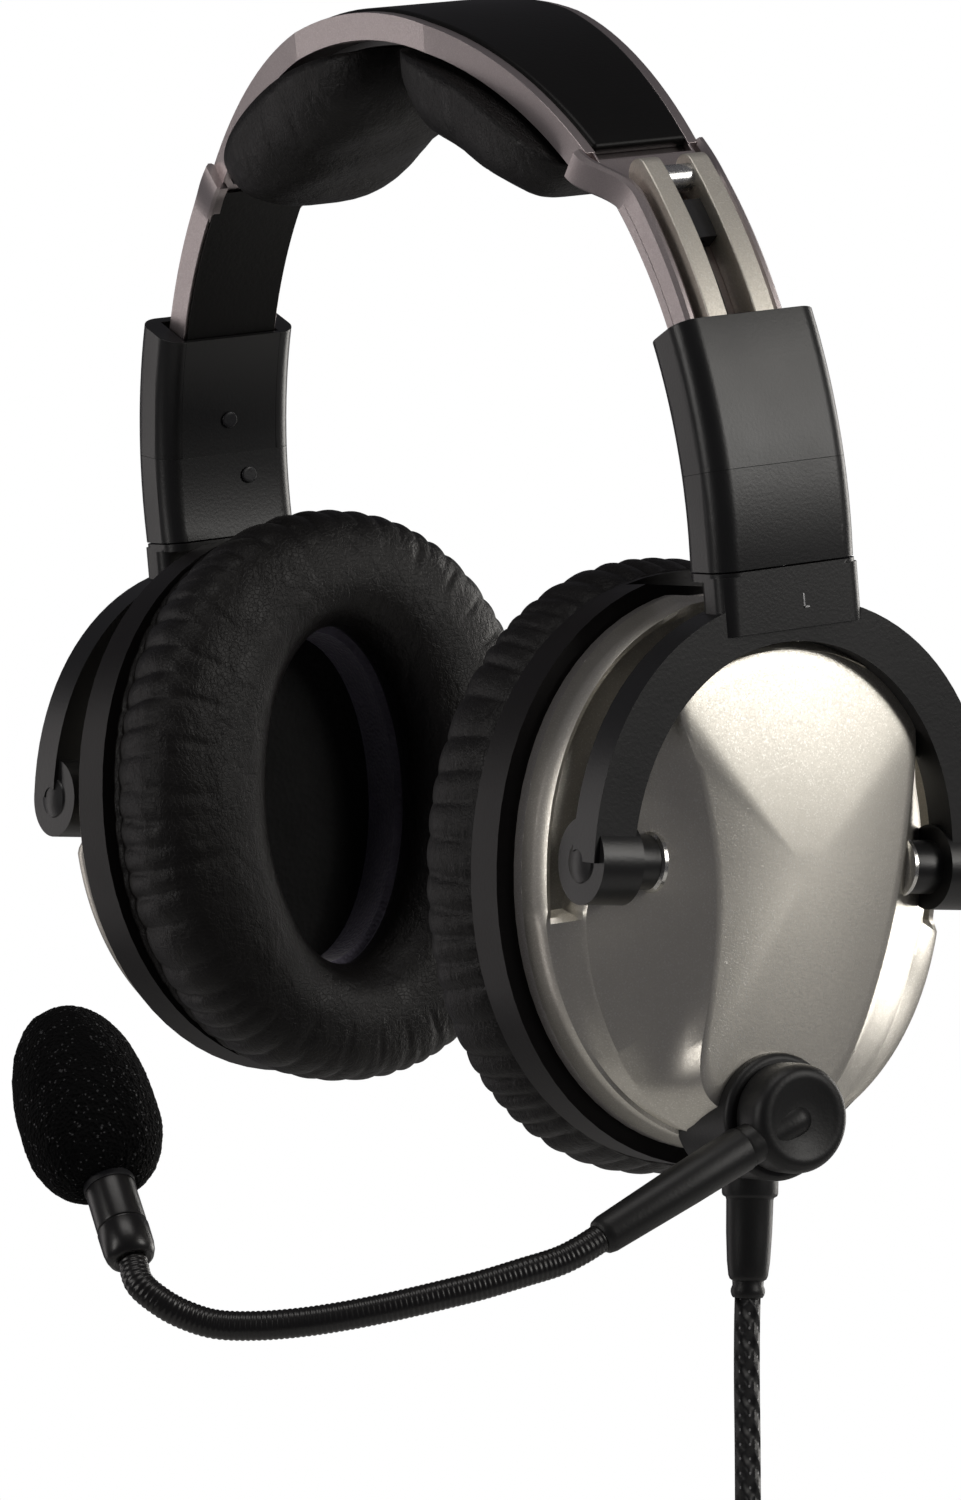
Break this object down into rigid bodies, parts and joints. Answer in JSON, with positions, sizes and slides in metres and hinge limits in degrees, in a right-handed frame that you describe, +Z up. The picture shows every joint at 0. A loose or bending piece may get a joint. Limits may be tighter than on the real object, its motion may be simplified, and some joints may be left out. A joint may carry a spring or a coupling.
{
  "type": "aviation headset",
  "caption": "Aviation headset with sprung headband, sliding yokes, pleated ear cushions, boom microphone and a coiled cord with twin plugs.",
  "frame": {"origin": "middle of the headband's underside, where it rests on the crown of the head", "axes": "+Z up, the wearer faces -Y, the wearer's left is +X; the cups hang towards -Z"},
  "size_m": [0.2206, 0.1931, 0.511],
  "materials": {
    "rim_metal": "satin gunmetal",
    "cover_black": "satin",
    "pad_leather": "grained leather",
    "rail_steel": "sandblasted",
    "bright_steel": "polished",
    "housing_black": "fine satin",
    "cup_metal": "fine metallic",
    "rim_silver": "satin",
    "ring_black": "satin",
    "liner_grey": "soft knit",
    "mesh_black": "open mesh",
    "board_green": "solder mask",
    "boom_rubber": "matte rubber",
    "gooseneck_black": "satin black",
    "foam_black": "open foam",
    "cord_black": "twisted jacket",
    "plug_metal": "nickel plate",
    "clip_dark": "satin",
    "speaker_dark": "satin"
  },
  "bodies": {
    "headband": {"headband_frame": "rim_metal", "headband_cover": "cover_black", "strap_liner_left": "cover_black", "strap_liner_right": "cover_black", "crown_pad_left": "pad_leather", "crown_pad_right": "pad_leather", "crown_pad_mount": "clip_dark", "slider_rails_left": "rail_steel", "slider_rails_right": "rail_steel", "rail_crossbars": "bright_steel", "rail_clips": "clip_dark", "crossover_wire": "cord_black"},
    "slider_left": {"slider_housing_left": "housing_black", "housing_base_left": "housing_black", "inner_panel_left": "housing_black", "housing_screws_left": "clip_dark"},
    "slider_right": {"slider_housing_right": "housing_black", "housing_base_right": "housing_black", "inner_panel_right": "housing_black", "housing_screws_right": "clip_dark"},
    "yoke_left": {"swivel_pin_left": "bright_steel", "yoke_left": "housing_black", "tilt_pins_left": "bright_steel"},
    "yoke_right": {"swivel_pin_right": "bright_steel", "yoke_right": "housing_black", "tilt_pins_right": "bright_steel"},
    "cup_left": {"cup_shell_left": "cup_metal", "rim_left": "rim_silver", "baffle_ring_left": "ring_black", "baffle_left": "ring_black", "speaker_left": "speaker_dark", "ear_cushion_left": "pad_leather", "ear_liner_left": "liner_grey", "ear_mesh_left": "mesh_black", "noise_board_left": "board_green", "boom_base": "boom_rubber", "strain_relief": "boom_rubber", "cord_drop": "cord_black", "cord_coil": "cord_black", "coil_tie": "clip_dark", "cord_tail": "cord_black", "y_split": "boom_rubber", "plug_leads": "cord_black", "headphone_plug": "plug_metal", "mic_plug": "plug_metal"},
    "cup_right": {"cup_shell_right": "cup_metal", "rim_right": "rim_silver", "baffle_ring_right": "ring_black", "baffle_right": "ring_black", "speaker_right": "speaker_dark", "ear_cushion_right": "pad_leather", "ear_liner_right": "liner_grey", "ear_mesh_right": "mesh_black", "noise_board_right": "board_green"},
    "boom": {"boom_arm": "boom_rubber", "gooseneck": "gooseneck_black", "mic_sleeve": "boom_rubber", "mic_capsule": "speaker_dark", "windscreen": "foam_black"}
  },
  "joints": [
    {"name": "slide_left", "type": "hinge", "parent": "headband", "child": "slider_left", "pos_m": [0.008, 0, -0.087], "axis": [0, 1, 0], "range_deg": [-13.27, 6.02]},
    {"name": "slide_right", "type": "hinge", "parent": "headband", "child": "slider_right", "pos_m": [-0.008, 0, -0.087], "axis": [0, -1, 0], "range_deg": [-13.27, 6.02]},
    {"name": "swivel_left", "type": "hinge", "parent": "slider_left", "child": "yoke_left", "pos_m": [0.0988, 0, -0.0935], "axis": [0, 0, 1], "range_deg": [-8, 8]},
    {"name": "swivel_right", "type": "hinge", "parent": "slider_right", "child": "yoke_right", "pos_m": [-0.0988, 0, -0.0935], "axis": [0, 0, -1], "range_deg": [-4.5, 11.5]},
    {"name": "tilt_left", "type": "hinge", "parent": "yoke_left", "child": "cup_left", "pos_m": [0.0973, -0.00366, -0.14503], "axis": [0, 0.989, -0.1478], "range_deg": [-3.5, 15]},
    {"name": "tilt_right", "type": "hinge", "parent": "yoke_right", "child": "cup_right", "pos_m": [-0.09708, -0.00356, -0.14503], "axis": [0.0604, -0.9872, 0.1478], "range_deg": [-12, 6.5]},
    {"name": "boom_turn", "type": "hinge", "parent": "cup_left", "child": "boom", "pos_m": [0.10591, -0.01212, -0.1868], "axis": [-0.999, -0.0064, -0.0431], "range_deg": [-40, 60]}
  ]
}
